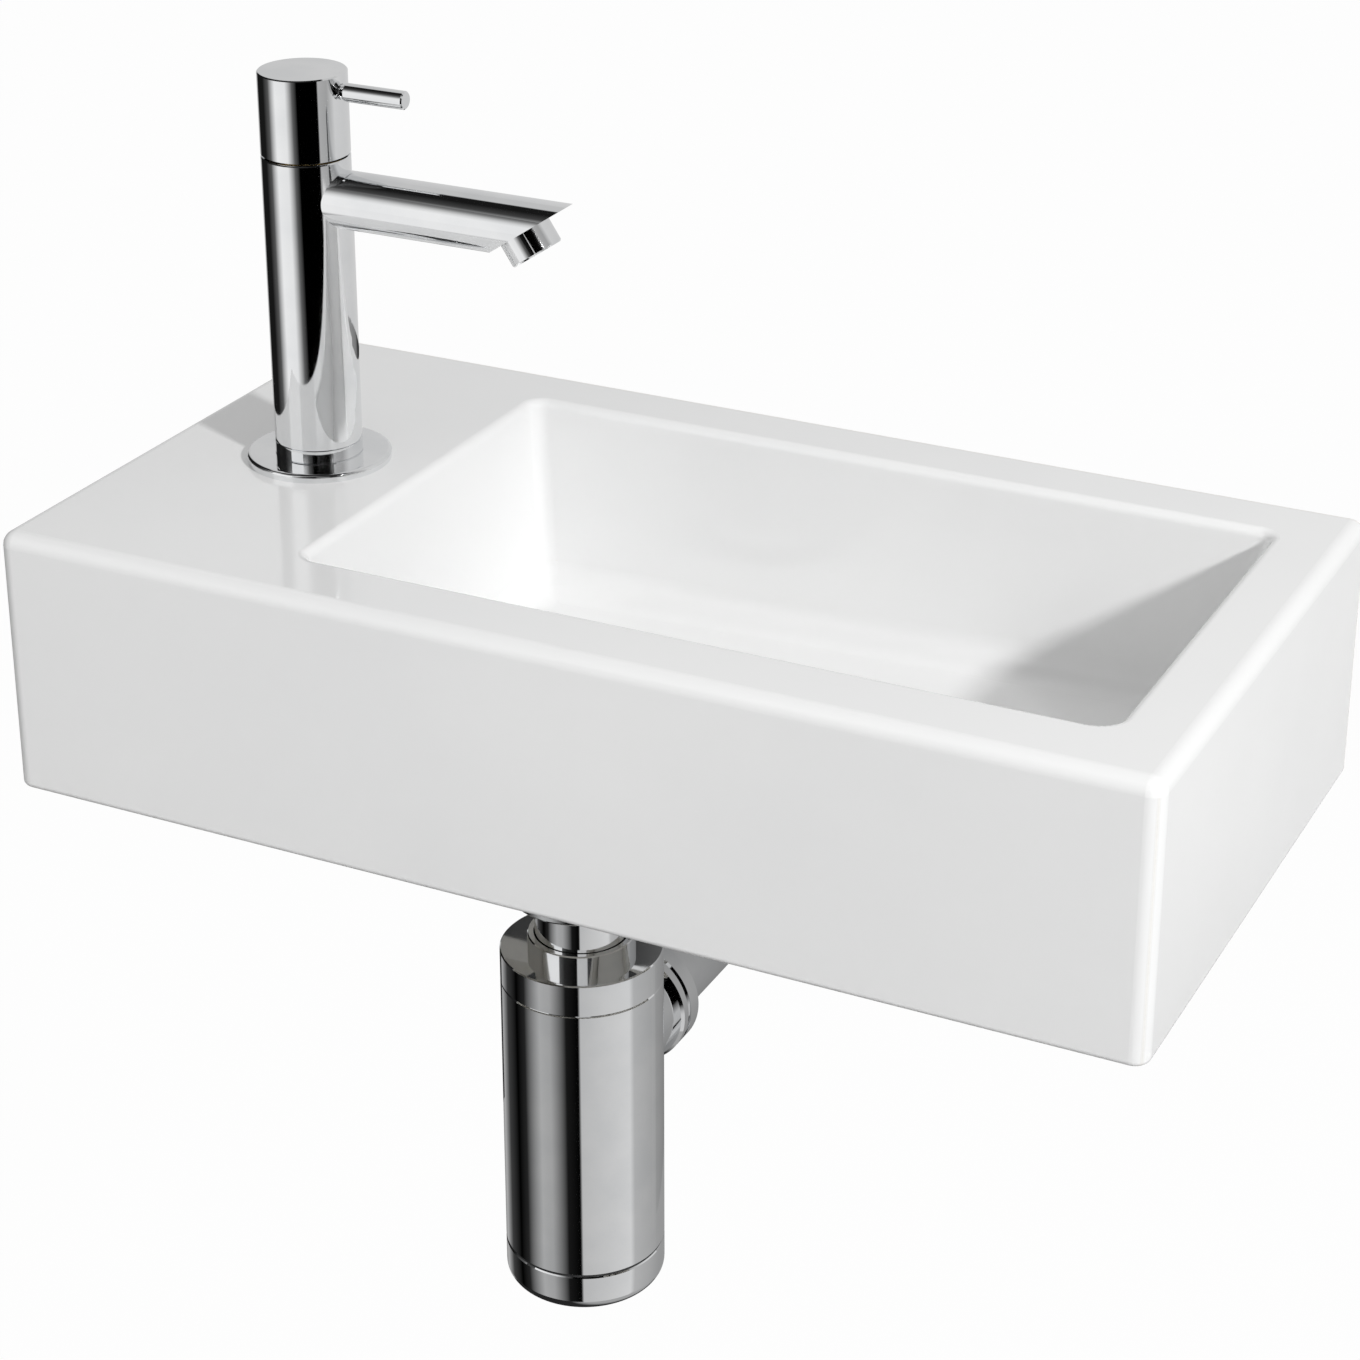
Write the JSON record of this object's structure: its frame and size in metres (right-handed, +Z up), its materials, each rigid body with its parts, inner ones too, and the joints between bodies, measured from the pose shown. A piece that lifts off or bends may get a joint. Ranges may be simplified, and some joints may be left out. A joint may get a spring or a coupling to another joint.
{
  "type": "hand basin",
  "caption": "Wall-hung rectangular ceramic hand basin with a side deck, a quarter-turn lever tap with a slanted spout, a free-flowing waste and a chromed bottle trap.",
  "frame": {"origin": "on the wall, midway between the two fixing holes", "axes": "+X to the right, +Y into the wall, +Z up"},
  "size_m": [0.385, 0.24, 0.426],
  "materials": {
    "glaze": "gloss glaze",
    "chrome": "polished",
    "brass": "machined",
    "steel": "plain",
    "disc_ceramic": "lapped",
    "black_rubber": "matt",
    "grey_plastic": "moulded"
  },
  "bodies": {
    "basin": {"basin_body": "glaze", "tap_flange": "chrome", "tap_column": "chrome", "tap_spout": "chrome", "aerator_housing": "chrome", "waste_body": "chrome", "inlet_union_nut": "chrome", "inlet_tube": "chrome", "trap_top_cap": "chrome", "trap_body": "chrome", "outlet_union_nut": "chrome", "outlet_tube": "chrome", "tap_tail": "brass", "tail_backnut": "brass", "cartridge_body": "brass", "waste_backnut": "brass", "tail_clamp_washer": "steel", "fixed_disc": "disc_ceramic", "tap_base_gasket": "black_rubber", "aerator_seal": "black_rubber", "cartridge_seal": "black_rubber", "tail_rubber_washer": "black_rubber", "waste_top_seal": "black_rubber", "waste_bottom_seal": "black_rubber", "inlet_seal": "black_rubber", "trap_top_seal": "black_rubber", "outlet_seal": "black_rubber", "aerator_insert": "grey_plastic"},
    "handle": {"handle_cap": "chrome", "lever_pin": "chrome", "handle_grub_screw": "steel", "valve_spindle": "brass", "moving_disc": "disc_ceramic"},
    "cup_ring": {"trap_cup_seal": "black_rubber"},
    "cup": {"trap_cup": "chrome"},
    "cover": {"waste_cover": "chrome"}
  },
  "joints": [
    {"name": "handle_turn", "type": "hinge", "parent": "basin", "child": "handle", "pos_m": [-0.135, -0.1, 0.17], "axis": [0, 0, 1], "range_deg": [0, 90]},
    {"name": "cup_drop", "type": "slide", "parent": "basin", "child": "cup_ring", "axis": [0, 0, -1], "range_m": [0, 0.009]},
    {"name": "cup_turn", "type": "hinge", "parent": "cup_ring", "child": "cup", "pos_m": [-0.0385, -0.1, -0.235], "axis": [0, 0, -1], "range_deg": [0, 1080]},
    {"name": "cover_lift", "type": "slide", "parent": "basin", "child": "cover", "axis": [0, 0, 1], "range_m": [0, 0.06]}
  ],
  "couplings": [
    {"joint": "cup_drop", "follows": "cup_turn", "m_per_rad": 0.000477}
  ]
}
